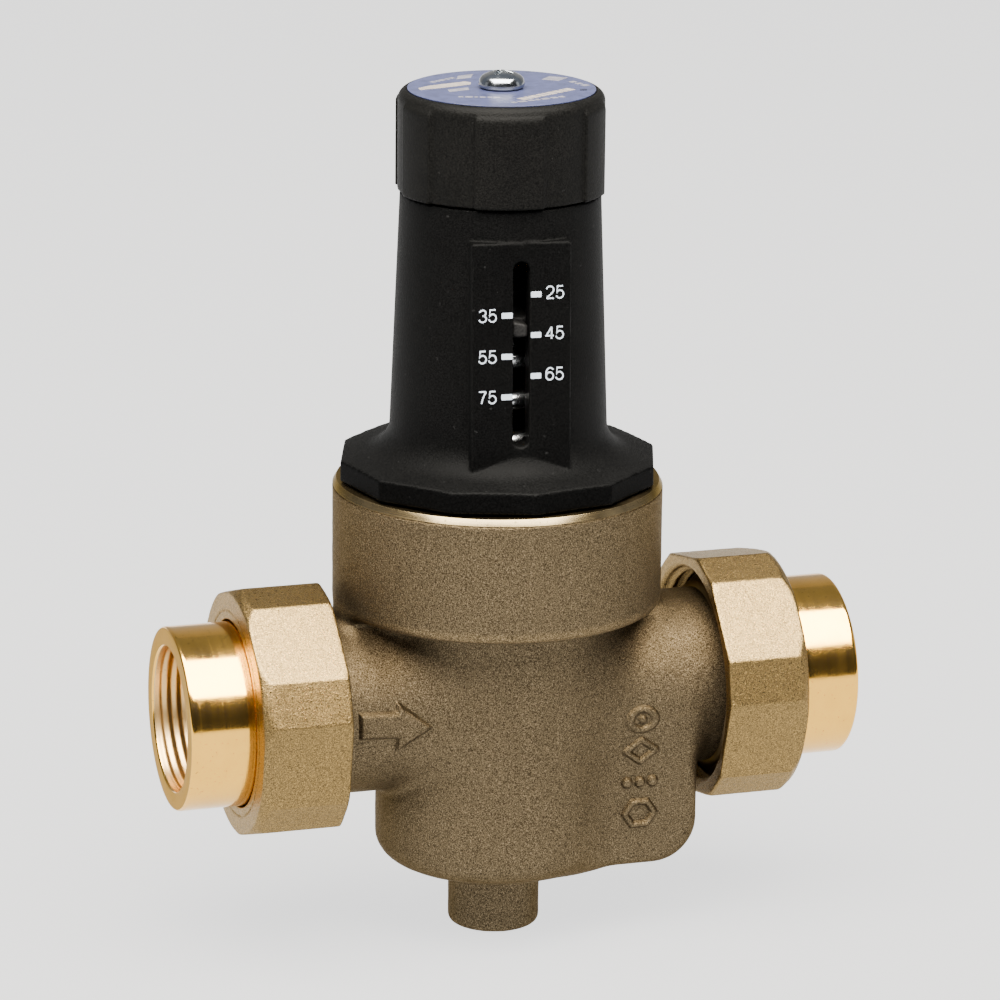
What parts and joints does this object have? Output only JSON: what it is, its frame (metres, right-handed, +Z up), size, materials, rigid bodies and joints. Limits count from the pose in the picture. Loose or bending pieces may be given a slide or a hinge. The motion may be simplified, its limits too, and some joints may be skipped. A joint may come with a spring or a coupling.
{
  "type": "water pressure regulator",
  "caption": "Adjustable water pressure regulator for a pipe run: cast body, spring cage with a reading slot, a turning knob and a union at each end.",
  "frame": {"origin": "where the axis of the spring cage crosses the axis of the pipe run, in the middle of the casting", "axes": "+X along the water's flow, from the inlet union to the outlet union; +Z up the spring cage towards the knob; the reading slot faces -Y"},
  "size_m": [0.1286, 0.061, 0.1625],
  "materials": {
    "cast_bronze": "rough sand-cast bronze, olive-brown, unmachined skin",
    "forged_brass": "shot-blasted forged brass, matte",
    "turned_brass": "turned and polished brass",
    "black_plastic": "moulded glass-filled nylon, fine matte texture",
    "grey_plastic": "moulded grey plastic",
    "white_acetal": "moulded acetal",
    "label_blue": "printed plastic label",
    "zinc_steel": "bright zinc-plated steel",
    "spring_steel": "drawn spring wire, plated",
    "stainless": "stainless steel",
    "rubber": "moulded nitrile rubber",
    "fibre": "flat fibre-reinforced gasket"
  },
  "bodies": {
    "housing": {"valve_body": "cast_bronze", "spring_cage": "black_plastic", "cage_slip_ring": "white_acetal", "diaphragm": "rubber", "seat_cartridge": "white_acetal", "valve_seat": "stainless", "cartridge_upper_seal": "rubber", "cartridge_lower_seal": "rubber", "strainer_screen": "stainless", "range_spring": "spring_steel"},
    "knob": {"adjusting_knob": "black_plastic", "knob_label": "label_blue", "knob_screw": "zinc_steel", "adjusting_spindle": "turned_brass", "thrust_washer": "white_acetal"},
    "spring_nut": {"indicator_nut": "grey_plastic"},
    "plunger": {"plunger_stem": "turned_brass", "diaphragm_lower_washer": "turned_brass", "diaphragm_plate": "zinc_steel", "plunger_top_nut": "zinc_steel", "disc_nut": "stainless", "plunger_seal": "rubber", "disc_holder": "turned_brass", "seat_disc": "rubber"},
    "inlet_tail": {"inlet_tailpiece": "turned_brass", "inlet_union_gasket": "fibre"},
    "inlet_nut": {"inlet_union_nut": "forged_brass"},
    "outlet_tail": {"outlet_tailpiece": "turned_brass", "outlet_union_gasket": "fibre"},
    "outlet_nut": {"outlet_union_nut": "forged_brass"}
  },
  "joints": [
    {"name": "knob_turn", "type": "hinge", "parent": "housing", "child": "knob", "pos_m": [0, 0, 0.104], "axis": [0, 0, -1], "range_deg": [-1440, 2160]},
    {"name": "nut_travel", "type": "slide", "parent": "housing", "child": "spring_nut", "axis": [0, 0, -1], "range_m": [-0.00747, 0.0112], "deforming": ["range_spring"]},
    {"name": "plunger_lift", "type": "slide", "parent": "housing", "child": "plunger", "axis": [0, 0, 1], "range_m": [0, 0.0023], "stiffness_N_per_m": 1500, "springref_m": -0.006, "deforming": ["diaphragm", "range_spring"]},
    {"name": "inlet_tail_slide", "type": "slide", "parent": "housing", "child": "inlet_tail", "axis": [-1, 0, 0], "range_m": [0, 0.00924]},
    {"name": "inlet_nut_turn", "type": "hinge", "parent": "inlet_tail", "child": "inlet_nut", "pos_m": [-0.042, 0, 0], "axis": [-1, 0, 0], "range_deg": [0, 1440]},
    {"name": "outlet_tail_slide", "type": "slide", "parent": "housing", "child": "outlet_tail", "axis": [1, 0, 0], "range_m": [0, 0.00924]},
    {"name": "outlet_nut_turn", "type": "hinge", "parent": "outlet_tail", "child": "outlet_nut", "pos_m": [0.0456, 0, 0], "axis": [1, 0, 0], "range_deg": [0, 1440]}
  ],
  "couplings": [
    {"joint": "nut_travel", "follows": "knob_turn", "m_per_rad": 0.00029682},
    {"joint": "inlet_tail_slide", "follows": "inlet_nut_turn", "m_per_rad": 0.00036749},
    {"joint": "outlet_tail_slide", "follows": "outlet_nut_turn", "m_per_rad": 0.00036749}
  ]
}
